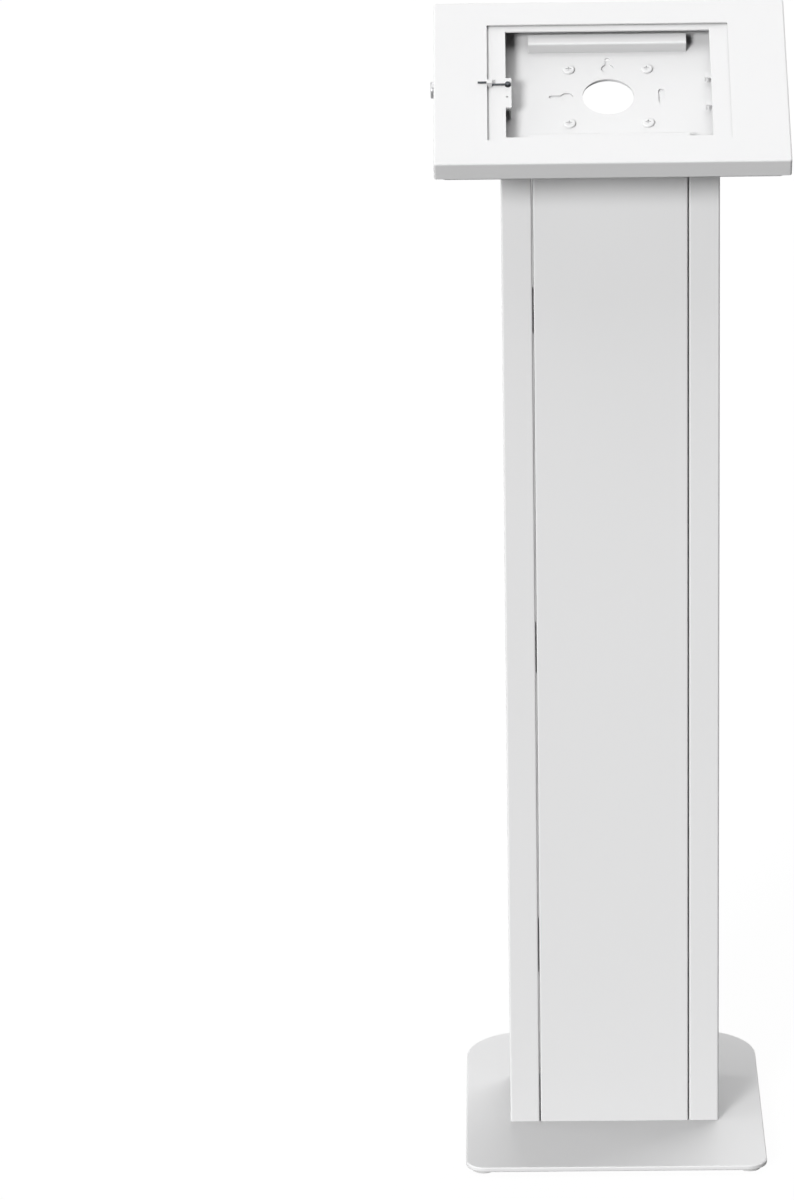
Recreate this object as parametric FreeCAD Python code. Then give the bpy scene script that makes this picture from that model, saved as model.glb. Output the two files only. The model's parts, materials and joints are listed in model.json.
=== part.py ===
import FreeCAD, Part
import math
import os

# Tablet floor stand: a base plate on four feet, a hollow sheet-steel column, and a sloped
# lockable casing on a bracket at its top.
# Sizes are in millimetres and angles in degrees. The origin is on the floor under the middle
# of the stand, +X is to the right as the user faces the display, +Y is away from the user.

# Base plate and feet
base_width = 302.0
base_front_reach = 116.0
base_rear_reach = 120.0
base_thick = 5.0
base_front_corner = 20.0
base_rear_corner = 65.0
base_edge_round = 1.5
foot_diameter = 23.0
foot_height = 6.0
foot_side_inset = 17.5
foot_front_inset = 22.0
foot_rear_inset = 24.0
foot_edge_round = 1.2
foot_recess_diameter = 11.0
foot_recess_depth = 2.5
foot_screw_diameter = 5.0
foot_screw_depth = 3.5

# Column
column_front = -51.5
column_width = 212.0
column_depth = 120.0
column_height = 1005.0
column_wall = 1.5
column_bend = 2.0
panel_width = 150.1
seam_gap = 0.9
seam_bend = 1.6
lip_depth = 10.0
lower_brace_height = 180.0
middle_brace_height = 500.0
upper_brace_height = 850.0
brace_thick = 2.0
brace_flange = 20.0
brace_gap = 0.5
duct_width = 80.0
duct_depth = 50.0
duct_corner = 8.0
top_plate_thick = 3.0
foot_plate_thick = 4.0
plate_flange = 15.0
panel_fixing_width = 90.0
panel_screw_diameter = 5.0
panel_screw_head = 9.5
panel_screw_head_high = 2.5
panel_screw_head_round = 1.2
panel_screw_drive = 3.0
panel_screw_drive_depth = 2.0
panel_screw_grip = 6.0
panel_boss_diameter = 10.0
base_bolt_diameter = 8.0
base_bolt_spread = 150.0
base_bolt_pitch = 66.0
outlet_height = 45.0
outlet_diameter = 26.0
grommet_bore = 18.0
grommet_lip = 3.0
grommet_lip_thick = 2.0
grommet_lip_round = 1.2

# Tablet and the foam stops at its edges; they give the casing its width and length
tablet_width = 240.0
tablet_length = 170.0
tablet_gap = 0.5
stop_thick = 5.0
stop_height = 5.0
stop_corner = 0.5
stop_side_length = 100.0
stop_end_length = 150.0

# Casing on its slope
tilt = 30.0
head_ahead = 39.8
head_rise = 87.9
casing_depth = 24.0
sheet = 1.5
cover_flange = 19.5
cover_corner = 2.5
cover_fold = 1.8
tray_clearance = 0.8
tray_rim_drop = 3.0
tray_corner = 10.0
tray_fold = 2.5
pattern_shift = -2.1
screw_shift = 1.9
window_inset_across = 4.3
window_inset_along = 4.7
bezel_strip_across = 17.7
bezel_strip_along = 6.6
opening_corner = 1.0
gasket_thick = 1.5
gasket_width = 8.0
gasket_setback = 1.0
stud_from_stop = 7.0
stud_from_edge = 7.0
insert_lock_gap = 6.25
insert_end_gap = 7.95
side_stud_pitch = 112.0
end_stud_pitch = 150.0
stud_diameter = 3.0
stud_reach = 3.6
bay_depth = 6.3

# What stands on the casing's back plate
cable_hole = 49.0
screw_pitch = 75.0
screw_head = 12.0
screw_head_high = 2.0
screw_head_round = 1.4
screw_diameter = 4.0
rail_length = 152.0
rail_width = 14.4
rail_from_tablet_edge = 15.7
rail_tab_length = 14.0
rail_tab_inset = 30.0
rail_notch_width = 17.5
rail_notch_depth = 2.5
channel_bend = 1.9
support_width = 20.0
support_length = 41.5
support_centre = -6.8
support_rivet_inset = 8.0
left_support_show = 4.8
right_support_show = 5.4
right_tab_width = 7.6
right_tab_pitch = 38.2
right_tab_reach = 13.5
right_tab_fold = 6.0
right_support_centre = -0.8
support_foot = 12.0
rivet_diameter = 3.0
rivet_head = 6.0
rivet_head_high = 1.2
rivet_head_round = 0.7
rivet_tail = 4.8
keyhole_bulb = 12.0
keyhole_slot = 5.0
top_keyhole_rise = 39.0
top_keyhole_slot = 15.0
side_keyhole_reach = 39.5
side_keyhole_slot = 17.0
side_slot_reach = 51.0
side_slot_length = 20.0
side_slot_width = 6.0

# Tab at the left of the inner opening, and the wire clip whose screw it holds
tab_reach = 5.5
tab_length = 40.6
tab_centre = -11.9
tab_corner = 0.8
tab_hole = 2.4
tab_hole_inset = 1.6
tab_hole_drop = 5.4
clip_wire = 2.0
clip_drop = -1.5
clip_tip = 8.9
clip_step = 1.2
clip_bend = 2.0
clip_lift = 0.15
clip_screw_inset = 2.1
clip_eye = 6.0
clip_eye_thick = 1.6
clip_eye_overlap = 0.4
clip_screw_head = 5.0
clip_screw_head_high = 1.8
clip_screw_head_round = 0.9
clip_screw_tip = 1.0
saddle_width = 5.0
saddle_before = 0.5
saddle_after = 4.6
saddle_cap = 0.7

# Lock in the left edge
lock_depth = 9.75
lock_head = 16.0
lock_head_high = 3.0
lock_head_round = 1.0
lock_body = 12.0
lock_length = 17.0
lock_nut_flats = 14.0
lock_nut_thick = 3.0
lock_slot = 20.0
plug_diameter = 8.0
plug_gap = 0.08
plug_setback = 0.4
key_slot_length = 6.0
key_slot_width = 1.2
key_slot_depth = 3.0
cam_thick = 2.0
cam_width = 8.0
cam_reach = 11.5
cam_hub = 11.0
cam_square = 4.0
cam_gap = 0.4
cam_screw_head = 6.0
cam_screw_head_high = 1.8
cam_screw_head_round = 0.6
strike_gap = 0.45
strike_hub_gap = 1.0
strike_thick = 1.5
strike_width = 8.0
strike_reach = 16.0
strike_foot = 12.0

# Hinge at the right edge
hinge_pin = 2.0
hinge_gap = 0.05
hinge_barrel = 4.0
hinge_inset = 1.75
hinge_drop = 2.3
hinge_barrel_length = 12.0
hinge_play = 0.3
hinge_from_end = 42.45

# Bracket between casing and column
bracket_thick = 3.0
bracket_width = 120.0
bracket_length = 104.0
bracket_hole = 52.0
bracket_foot = 26.0
bracket_front_inset = 8.0
bracket_rear_inset = 20.0
bracket_bolt = 6.0
bracket_bolt_inset = 15.0

# General fits and proportions; a cutter passes the sheet that it cuts by the overshoot
hole_gap = 0.25
thread_gap = 0.1
tip_length = 1.0
overshoot = 1.0
nut_per_thread = 0.8
flats_per_thread = 1.65
bolt_head_per_thread = 0.65
sunk_head_per_thread = 2.0
cross_width_per_head = 0.1
cross_length_per_head = 0.45
cross_depth_per_head = 0.11

# Places worked out from the sizes
base_top = foot_height + base_thick
column_rear = column_front + column_depth
column_middle = (column_front + column_rear) / 2
column_top = base_top + column_height
head_y = column_front - head_ahead
head_z = column_top + head_rise
window_width = tablet_width - 2 * window_inset_across
window_length = tablet_length - 2 * window_inset_along
bezel_width = window_width - 2 * bezel_strip_across
bezel_length = window_length - 2 * bezel_strip_along
stop_outer_width = tablet_width / 2 + tablet_gap + stop_thick
stop_outer_length = tablet_length / 2 + tablet_gap + stop_thick
insert_half_width = stop_outer_width + stud_from_stop + stud_from_edge
insert_half_length = stop_outer_length + stud_from_stop + stud_from_edge
lock_room = lock_length - sheet + cam_gap + cam_thick / 2 + strike_width / 2
half_width = insert_half_width - pattern_shift + insert_lock_gap + lock_room
half_length = insert_half_length + insert_end_gap
tray_half_width = half_width - sheet - tray_clearance
tray_half_length = half_length - sheet - tray_clearance
insert_face = -sheet - gasket_thick
insert_back = insert_face - sheet
bay_floor = insert_back - bay_depth
tray_floor = sheet - casing_depth
tray_back = -casing_depth
hinge_u = half_width - hinge_inset
hinge_w = -cover_flange - hinge_drop
window_left = pattern_shift - window_width / 2
left_support_edge = pattern_shift - bezel_width / 2 + left_support_show
right_support_edge = pattern_shift + bezel_width / 2 - right_support_show


def vec(x, y, z=0.0):
    return FreeCAD.Vector(x, y, z)


def box(low, high):
    """A block between its lowest and highest corners."""
    size = high.sub(low)
    return Part.makeBox(size.x, size.y, size.z, low)


def bar(diameter, start, end):
    """A round bar from one point to another."""
    along = end.sub(start)
    return Part.makeCylinder(diameter / 2, along.Length, start, along)


def cone(first, second, start, end):
    """A round taper between two diameters."""
    along = end.sub(start)
    return Part.makeCone(first / 2, second / 2, along.Length, start, along)


def hexagon(flats, start, end):
    """A six-sided bar from one point to another, measured across its flats."""
    along = end.sub(start)
    corner = flats / math.sqrt(3)
    turns = [math.radians(30 + 60 * k) for k in range(7)]
    points = [vec(corner * math.cos(turn), corner * math.sin(turn)) for turn in turns]
    shape = Part.Face(Part.makePolygon(points)).extrude(vec(0, 0, along.Length))
    return moved(shape, FreeCAD.Placement(start, FreeCAD.Rotation(vec(0, 0, 1), along)))


def moved(shape, placement):
    """The shape at a new place, with the place worked into its geometry."""
    return shape.transformed(placement.toMatrix(), True)


def shifted(shape, x, y, z=0.0):
    return moved(shape, FreeCAD.Placement(vec(x, y, z), FreeCAD.Rotation()))


def on_slope(shape):
    """Moves a shape from the casing's own axes (across, up the slope, out of the front) to the stand."""
    turn = FreeCAD.Rotation(vec(1, 0, 0), tilt)
    return moved(shape, FreeCAD.Placement(vec(0, head_y, head_z), turn))


def slope_point(v, w):
    """The stand's Y and Z of a point that lies v up the slope and w out of the front plate."""
    angle = math.radians(tilt)
    y = head_y + v * math.cos(angle) - w * math.sin(angle)
    z = head_z + v * math.sin(angle) + w * math.cos(angle)
    return y, z


def corner_arc(last, here, following, radius):
    """The start, the middle and the end of the arc that rounds the corner at here."""
    before = (last - here).normalize()
    after = (following - here).normalize()
    half = before.getAngle(after) / 2
    reach = radius / math.tan(half)
    centre = here + (before + after).normalize() * (radius / math.sin(half))
    middle = centre + (here - centre).normalize() * radius
    return here + before * reach, middle, here + after * reach


def outline(points, radii):
    """A closed flat wire through the points, each corner rounded to its own radius."""
    places = [vec(*point) for point in points]
    corners = []
    for i, radius in enumerate(radii):
        if radius > 0:
            corners.append(corner_arc(places[i - 1], places[i], places[(i + 1) % len(places)], radius))
        else:
            corners.append((places[i], None, places[i]))
    edges = []
    for i, (start, middle, end) in enumerate(corners):
        if middle is not None:
            edges.append(Part.Arc(start, middle, end).toShape())
        following = corners[(i + 1) % len(corners)][0]
        if end.distanceToPoint(following) > 1e-6:
            edges.append(Part.LineSegment(end, following).toShape())
    return Part.Wire(edges)


def slab(points, radii, low, high):
    """An upright plate of the rounded outline between two heights."""
    face = Part.Face(outline(points, radii))
    return shifted(face.extrude(vec(0, 0, high - low)), 0, 0, low)


def rectangle(half_x, half_y, x=0.0, y=0.0):
    signs = [(-1, -1), (1, -1), (1, 1), (-1, 1)]
    return [(x + i * half_x, y + j * half_y) for i, j in signs]


def plate(half_x, half_y, radius, low, high, x=0.0, y=0.0):
    """A plate with four like corners."""
    return slab(rectangle(half_x, half_y, x, y), [radius] * 4, low, high)


def folded(path, wall, bend, low, high):
    """A folded strip: the path is its outer face, its material lies to the left of the path."""
    inner = []
    for i, point in enumerate(path):
        here = vec(*point)
        sides = []
        if i > 0:
            along = here.sub(vec(*path[i - 1])).normalize()
            sides.append(vec(-along.y, along.x))
        if i < len(path) - 1:
            along = vec(*path[i + 1]).sub(here).normalize()
            sides.append(vec(-along.y, along.x))
        if len(sides) == 2:
            shift = (sides[0] + sides[1]) * (wall / (1 + sides[0].dot(sides[1])))
        else:
            shift = sides[0] * wall
        inner.append((point[0] + shift.x, point[1] + shift.y))
    bends = len(path) - 2
    radii = [0] + [bend] * bends + [0, 0] + [max(bend - wall, 0)] * bends + [0]
    return slab(list(path) + inner[::-1], radii, low, high)


def bent_wire(diameter, points, bend):
    """A round wire through the points, with an arc at each corner."""
    edges = []
    start = points[0]
    for last, here, following in zip(points, points[1:], points[2:]):
        arc = corner_arc(last, here, following, bend)
        edges.append(Part.LineSegment(start, arc[0]).toShape())
        edges.append(Part.Arc(*arc).toShape())
        start = arc[2]
    edges.append(Part.LineSegment(start, points[-1]).toShape())
    circle = Part.Circle(points[0], points[1] - points[0], diameter / 2)
    return Part.Wire(edges).makePipeShell([Part.Wire(circle.toShape())], True, True)


def sideways(shape):
    """Stands a flat shape up: its X runs along Y, its Y along Z, and its height along X."""
    turn = FreeCAD.Rotation(vec(0, 1, 0), vec(0, 0, 1), vec(1, 0, 0), "XYZ")
    return moved(shape, FreeCAD.Placement(vec(0, 0, 0), turn))


def edges_where(shape, test):
    return [edge for edge in shape.Edges if test(edge)]


def level_edges(shape, height):
    """The edges of a shape that lie flat at a height."""
    return edges_where(shape, lambda edge: max(abs(vertex.Z - height) for vertex in edge.Vertexes) < 1e-6)


def fused(first, *others):
    return first.fuse(list(others)).removeSplitter()


def group(shapes):
    """Like pieces that share one node, each of them a solid of its own."""
    return Part.makeCompound(list(shapes))


def grid(spread_x, spread_y, x=0.0, y=0.0):
    """The four corners of a rectangle of holes."""
    return [(x + i * spread_x / 2, y + j * spread_y / 2) for i in (-1, 1) for j in (-1, 1)]


def nut(thread, start, end_side):
    """A hexagon nut that sits on a face at start and points to end_side."""
    along = vec(*end_side).normalize() * (thread * nut_per_thread)
    bore = bar(thread + 2 * thread_gap, start, start + along)
    return hexagon(thread * flats_per_thread, start, start + along).cut(bore)


def cross_recess(shape, at, head):
    """Cuts a cross into a screw head of that diameter, whose top is at the point and faces +Z."""
    length = head * cross_length_per_head / 2
    width = head * cross_width_per_head / 2
    depth = head * cross_depth_per_head
    arms = []
    for x, y in ((length, width), (width, length)):
        arms.append(box(at - vec(x, y, depth), at + vec(x, y, overshoot)))
    return shape.cut(arms)


nodes = {}

# Base plate with countersunk bolt holes and blind foot holes


def foot_places():
    side = base_width / 2 - foot_side_inset
    front = column_front - base_front_reach + foot_front_inset
    corner_x = base_width / 2 - base_rear_corner
    corner_y = column_rear + base_rear_reach - base_rear_corner
    reach = (base_rear_corner - foot_rear_inset) / math.sqrt(2)
    rear_x = corner_x + reach
    rear_y = corner_y + reach
    return {
        "front_left": (-side, front),
        "front_right": (side, front),
        "rear_left": (-rear_x, rear_y),
        "rear_right": (rear_x, rear_y),
    }


def base_bolt_places():
    return grid(base_bolt_spread, base_bolt_pitch, 0, column_middle)


def countersunk(diameter, x, y, low, length):
    """A flat-headed screw whose head is flush with the height low and whose shank points up."""
    wide = diameter * sunk_head_per_thread
    neck = vec(x, y, low + (wide - diameter) / 2)
    head = cone(wide, diameter, vec(x, y, low), neck)
    return fused(head, bar(diameter, neck, vec(x, y, low + length)))


def make_base_plate():
    half = base_width / 2
    front = column_front - base_front_reach
    rear = column_rear + base_rear_reach
    points = [(-half, front), (half, front), (half, rear), (-half, rear)]
    radii = [base_front_corner, base_front_corner, base_rear_corner, base_rear_corner]
    body = slab(points, radii, foot_height, base_top)
    rims = edges_where(body, lambda edge: abs(edge.BoundBox.ZLength) < 1e-6)
    body = body.makeFillet(base_edge_round, rims)
    cuts = []
    wide = base_bolt_diameter + 2 * hole_gap
    head = base_bolt_diameter * sunk_head_per_thread + 2 * hole_gap
    for x, y in base_bolt_places():
        low = vec(x, y, foot_height)
        cuts.append(bar(wide, low, vec(x, y, base_top)))
        cuts.append(cone(head, wide, low, low + vec(0, 0, (head - wide) / 2)))
    wide = foot_screw_diameter + 2 * thread_gap
    for x, y in foot_places().values():
        low = vec(x, y, foot_height)
        cuts.append(bar(wide, low, low + vec(0, 0, foot_screw_depth + hole_gap)))
    return body.cut(cuts)


def make_foot(x, y):
    body = bar(foot_diameter, vec(x, y, 0), vec(x, y, foot_height))
    rims = edges_where(body, lambda edge: edge.Closed)
    body = body.makeFillet(foot_edge_round, rims)
    floor = vec(x, y, 0)
    seat = vec(x, y, foot_recess_depth)
    wide = foot_screw_diameter + 2 * hole_gap
    head = foot_screw_diameter * sunk_head_per_thread
    recess = bar(foot_recess_diameter, floor, seat)
    hole = bar(wide, floor, vec(x, y, foot_height))
    sink = cone(head, foot_screw_diameter, seat, seat + vec(0, 0, (head - foot_screw_diameter) / 2))
    return body.cut([recess, hole, sink])


def make_foot_screws():
    low = foot_recess_depth
    length = foot_height - low + foot_screw_depth
    return group(countersunk(foot_screw_diameter, x, y, low, length) for x, y in foot_places().values())


nodes["base_plate"] = make_base_plate()
for name, (x, y) in foot_places().items():
    nodes["foot_" + name] = make_foot(x, y)
nodes["foot_screws"] = make_foot_screws()

# Column: side profiles, panels, braces and end plates

panel_bottom = base_top
panel_top = column_top - top_plate_thick
strip_edge = panel_width / 2 + seam_gap
inner_half_width = column_width / 2 - column_wall
brace_front = column_front + lip_depth + brace_gap
brace_rear = column_rear - lip_depth - brace_gap
brace_z = {
    "lower": base_top + lower_brace_height,
    "middle": base_top + middle_brace_height,
    "upper": base_top + upper_brace_height,
}


def make_right_profile():
    edge = column_width / 2
    path = [
        (strip_edge, column_front + lip_depth),
        (strip_edge, column_front),
        (edge, column_front),
        (edge, column_rear),
        (strip_edge, column_rear),
        (strip_edge, column_rear - lip_depth),
    ]
    return folded(path, column_wall, column_bend, panel_bottom, panel_top)


def mirrored(shape):
    return shape.mirror(vec(0, 0, 0), vec(1, 0, 0))


def panel_screw_places():
    middle = brace_flange / 2
    return [(side * panel_fixing_width / 2, z - middle) for z in brace_z.values() for side in (-1, 1)]


def make_panel(front_side):
    """A shallow folded pan with bosses at the braces; the rear one is drilled for its screws."""
    half = panel_width / 2
    face = column_front if front_side else column_rear
    inward = 1 if front_side else -1
    lip = face + inward * lip_depth
    path = [(-half, lip), (-half, face), (half, face), (half, lip)]
    if not front_side:
        path = path[::-1]
    body = folded(path, column_wall, seam_bend, panel_bottom, panel_top)
    boss_start = face + inward * column_wall
    boss_end = brace_front if front_side else brace_rear
    places = panel_screw_places()
    bosses = [bar(panel_boss_diameter, vec(x, boss_start, z), vec(x, boss_end, z)) for x, z in places]
    if front_side:
        tip = boss_end + brace_thick + panel_screw_grip
        studs = [bar(panel_screw_diameter, vec(x, boss_end, z), vec(x, tip, z)) for x, z in places]
        return fused(body, *bosses, *studs)
    body = fused(body, *bosses)
    wide = panel_screw_diameter + 2 * hole_gap
    cuts = [bar(wide, vec(x, face, z), vec(x, boss_end, z)) for x, z in places]
    outlet = vec(0, face, base_top + outlet_height)
    cuts.append(bar(outlet_diameter, outlet, outlet + vec(0, -column_wall, 0)))
    return body.cut(cuts)


def make_brace(z):
    """A pan with four flanges folded down, welded between the side profiles, with a cable hole."""
    side = inner_half_width
    outer = box(vec(-side, brace_front, z - brace_flange), vec(side, brace_rear, z))
    inner = box(
        vec(brace_thick - inner_half_width, brace_front + brace_thick, z - brace_flange),
        vec(inner_half_width - brace_thick, brace_rear - brace_thick, z - brace_thick),
    )
    duct = plate(duct_width / 2, duct_depth / 2, duct_corner, z - brace_thick, z, 0, column_middle)
    wide = panel_screw_diameter + 2 * hole_gap
    screw_z = z - brace_flange / 2
    holes = []
    for x in (-panel_fixing_width / 2, panel_fixing_width / 2):
        holes.append(bar(wide, vec(x, brace_front, screw_z), vec(x, brace_front + brace_thick, screw_z)))
        holes.append(bar(wide, vec(x, brace_rear - brace_thick, screw_z), vec(x, brace_rear, screw_z)))
    return outer.cut([inner, duct] + holes)


def side_flanges(low, high, thick):
    """The two folded edges of an end plate, flat against the side profiles."""
    return [
        box(vec(side_low, brace_front, low), vec(side_low + thick, brace_rear, high))
        for side_low in (-inner_half_width, inner_half_width - thick)
    ]


def make_foot_plate():
    thick = foot_plate_thick
    top = base_top + thick
    body = box(vec(-inner_half_width, brace_front, base_top), vec(inner_half_width, brace_rear, top))
    body = fused(body, *side_flanges(base_top, base_top + plate_flange, thick))
    wide = base_bolt_diameter + 2 * hole_gap
    return body.cut([bar(wide, vec(x, y, base_top), vec(x, y, top)) for x, y in base_bolt_places()])


def bracket_bolt_places():
    spread = bracket_width + 2 * (bracket_foot - bracket_bolt_inset)
    front = column_front + bracket_front_inset + bracket_bolt_inset
    rear = column_rear - bracket_rear_inset - bracket_bolt_inset
    return grid(spread, rear - front, pattern_shift, (front + rear) / 2)


def make_top_plate():
    thick = top_plate_thick
    low = column_top - thick
    body = plate(column_width / 2, column_depth / 2, column_bend, low, column_top, 0, column_middle)
    body = fused(body, *side_flanges(low - plate_flange, low, thick))
    cuts = [plate(duct_width / 2, duct_depth / 2, duct_corner, low, column_top, 0, column_middle)]
    wide = bracket_bolt + 2 * hole_gap
    cuts += [bar(wide, vec(x, y, low), vec(x, y, column_top)) for x, y in bracket_bolt_places()]
    return body.cut(cuts)


def make_base_bolts():
    size = base_bolt_diameter
    length = base_thick + foot_plate_thick + size * nut_per_thread + tip_length
    return group(countersunk(size, x, y, foot_height, length) for x, y in base_bolt_places())


def make_base_nuts():
    seat = base_top + foot_plate_thick
    return group(nut(base_bolt_diameter, vec(x, y, seat), (0, 0, 1)) for x, y in base_bolt_places())


def make_front_panel_nuts():
    seat = brace_front + brace_thick
    places = panel_screw_places()
    return group(nut(panel_screw_diameter, vec(x, seat, z), (0, 1, 0)) for x, z in places)


def make_rear_panel_nuts():
    seat = brace_rear - brace_thick
    places = panel_screw_places()
    return group(nut(panel_screw_diameter, vec(x, seat, z), (0, -1, 0)) for x, z in places)


def make_rear_panel_screws():
    screws = []
    tip = brace_rear - brace_thick - panel_screw_grip
    middle = column_rear + panel_screw_head_high / 2
    for x, z in panel_screw_places():
        seat = vec(x, column_rear, z)
        top = seat + vec(0, panel_screw_head_high, 0)
        head = bar(panel_screw_head, seat, top)
        rim = edges_where(head, lambda edge: edge.Closed and edge.CenterOfMass.y > middle)
        head = head.makeFillet(panel_screw_head_round, rim)
        drive = hexagon(panel_screw_drive, top, top - vec(0, panel_screw_drive_depth, 0))
        screws.append(fused(head.cut(drive), bar(panel_screw_diameter, seat, vec(x, tip, z))))
    return group(screws)


def make_cable_grommet():
    """A rubber ring with a lip each side of the rear panel's sheet."""
    at = vec(0, column_rear, base_top + outlet_height)
    lip = outlet_diameter + 2 * grommet_lip
    outer_end = at + vec(0, grommet_lip_thick, 0)
    wall_end = at - vec(0, column_wall, 0)
    inner_end = wall_end - vec(0, grommet_lip_thick, 0)
    outside = bar(lip, at, outer_end)
    middle = column_rear + grommet_lip_thick / 2
    rim = edges_where(outside, lambda edge: edge.Closed and edge.CenterOfMass.y > middle)
    outside = outside.makeFillet(grommet_lip_round, rim)
    neck = bar(outlet_diameter, at, wall_end)
    inside = bar(lip, wall_end, inner_end)
    return fused(outside, neck, inside).cut(bar(grommet_bore, outer_end, inner_end))


nodes["column_right_profile"] = make_right_profile()
nodes["column_left_profile"] = mirrored(nodes["column_right_profile"])
nodes["column_front_panel"] = make_panel(True)
nodes["column_rear_panel"] = make_panel(False)
for name, z in brace_z.items():
    nodes[name + "_brace"] = make_brace(z)
nodes["column_foot_plate"] = make_foot_plate()
nodes["column_top_plate"] = make_top_plate()
nodes["base_bolts"] = make_base_bolts()
nodes["base_nuts"] = make_base_nuts()
nodes["front_panel_nuts"] = make_front_panel_nuts()
nodes["rear_panel_nuts"] = make_rear_panel_nuts()
nodes["rear_panel_screws"] = make_rear_panel_screws()
nodes["cable_grommet"] = make_cable_grommet()

# Bracket that carries the casing: a sloped plate, two cheeks and two feet of one folded sheet


def mounting_places():
    return grid(screw_pitch, screw_pitch, pattern_shift, screw_shift)


def make_head_bracket():
    half = bracket_width / 2
    low_v = screw_shift - bracket_length / 2
    high_v = screw_shift + bracket_length / 2
    under = tray_back - bracket_thick
    top = on_slope(plate(half, bracket_length / 2, 0, under, tray_back, pattern_shift, screw_shift))
    foot_front = column_front + bracket_front_inset
    foot_rear = column_rear - bracket_rear_inset
    corners = [
        slope_point(low_v, tray_back),
        (foot_front, column_top),
        (foot_rear, column_top),
        slope_point(high_v, tray_back),
    ]
    pieces = []
    for side in (-1, 1):
        outer = pattern_shift + side * half
        inner = outer - side * bracket_thick
        pieces.append(sideways(slab(corners, [0, 0, 0, 0], min(outer, inner), max(outer, inner))))
        edge = outer + side * bracket_foot
        low = vec(min(inner, edge), foot_front, column_top)
        high = vec(max(inner, edge), foot_rear, column_top + bracket_thick)
        pieces.append(box(low, high))
    body = fused(top, *pieces)
    low = under - overshoot
    cable = bar(bracket_hole, vec(pattern_shift, screw_shift, low), vec(pattern_shift, screw_shift, 0))
    cuts = [on_slope(cable)]
    wide = screw_diameter + 2 * hole_gap
    for u, v in mounting_places():
        cuts.append(on_slope(bar(wide, vec(u, v, low), vec(u, v, 0))))
    wide = bracket_bolt + 2 * hole_gap
    for x, y in bracket_bolt_places():
        cuts.append(bar(wide, vec(x, y, column_top), vec(x, y, column_top + bracket_thick)))
    return body.cut(cuts)


def make_bracket_bolts():
    bolts = []
    seat = column_top + bracket_thick
    top = seat + bracket_bolt * bolt_head_per_thread
    tip = column_top - top_plate_thick - bracket_bolt * nut_per_thread - tip_length
    for x, y in bracket_bolt_places():
        head = hexagon(bracket_bolt * flats_per_thread, vec(x, y, seat), vec(x, y, top))
        bolts.append(fused(head, bar(bracket_bolt, vec(x, y, tip), vec(x, y, seat))))
    return group(bolts)


def make_bracket_nuts():
    seat = column_top - top_plate_thick
    return group(nut(bracket_bolt, vec(x, y, seat), (0, 0, -1)) for x, y in bracket_bolt_places())


nodes["head_bracket"] = make_head_bracket()
nodes["bracket_bolts"] = make_bracket_bolts()
nodes["bracket_nuts"] = make_bracket_nuts()

# Casing tray and what is fastened to it, in the casing's own axes

rail_reach = tablet_length / 2 - rail_from_tablet_edge
rail_centres = {"upper": screw_shift + rail_reach, "lower": screw_shift - rail_reach}
left_support_inner = left_support_edge - support_width
lock_inner_end = sheet - half_width + lock_length
cam_start = lock_inner_end + cam_gap
cam_middle = cam_start + cam_thick / 2
strike_low = -lock_depth + cam_width / 2 + strike_gap
strike_start = cam_hub / 2 + strike_hub_gap


def rounded_shell(half_x, half_y, low, high, wall, corner, fold, open_top):
    """A box of folded sheet, open at one side, with rounded corners and folds."""
    outer = plate(half_x, half_y, corner, low, high)
    outer = outer.makeFillet(fold, level_edges(outer, low if open_top else high))
    inner_low = low + wall if open_top else low
    inner_high = high if open_top else high - wall
    inner = plate(half_x - wall, half_y - wall, corner - wall, inner_low, inner_high)
    inner = inner.makeFillet(fold - wall, level_edges(inner, inner_low if open_top else inner_high))
    return outer.cut(inner)


def slot(width, start, end, low, high):
    """A round-ended slot cutter between the middles of its two round ends."""
    first = vec(*start, low)
    along = vec(*end, low) - first
    aside = vec(-along.y, along.x).normalize() * (width / 2)
    face = Part.Face(Part.makePolygon([
        first - aside,
        first - aside + along,
        first + aside + along,
        first + aside,
        first - aside,
    ]))
    rise = vec(0, 0, high - low)
    rounds = [bar(width, place, place + rise) for place in (first, first + along)]
    return fused(face.extrude(rise), *rounds)


def rail_rivet_places():
    reach = rail_length / 2 - rail_tab_inset
    return [(pattern_shift + side * reach, v) for v in rail_centres.values() for side in (-1, 1)]


def support_rivet_places():
    left_u = left_support_inner - support_foot / 2 + sheet / 2
    right_u = right_support_edge + right_tab_reach + support_foot / 2 + sheet / 2
    half = support_length / 2 - support_rivet_inset
    left = [(left_u, support_centre + side * half) for side in (-1, 1)]
    right = [(right_u, right_support_centre + side * right_tab_pitch / 2) for side in (-1, 1)]
    return left + right


def strike_rivet_places():
    return [(cam_middle, strike_reach + strike_foot / 2)]


def hinge_centres():
    reach = half_length - hinge_from_end
    return (-reach, reach)


def hinge_spans(centre):
    """The lengths of a hinge's barrels: the cover's in the middle and the tray's at both ends."""
    half = hinge_barrel_length / 2
    far = half + hinge_play + hinge_barrel_length
    cover = [(centre - half, centre + half)]
    tray = [(centre - far, centre - half - hinge_play), (centre + half + hinge_play, centre + far)]
    return cover, tray


def hinge_bar(diameter, span):
    return bar(diameter, vec(hinge_u, span[0], hinge_w), vec(hinge_u, span[1], hinge_w))


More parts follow.
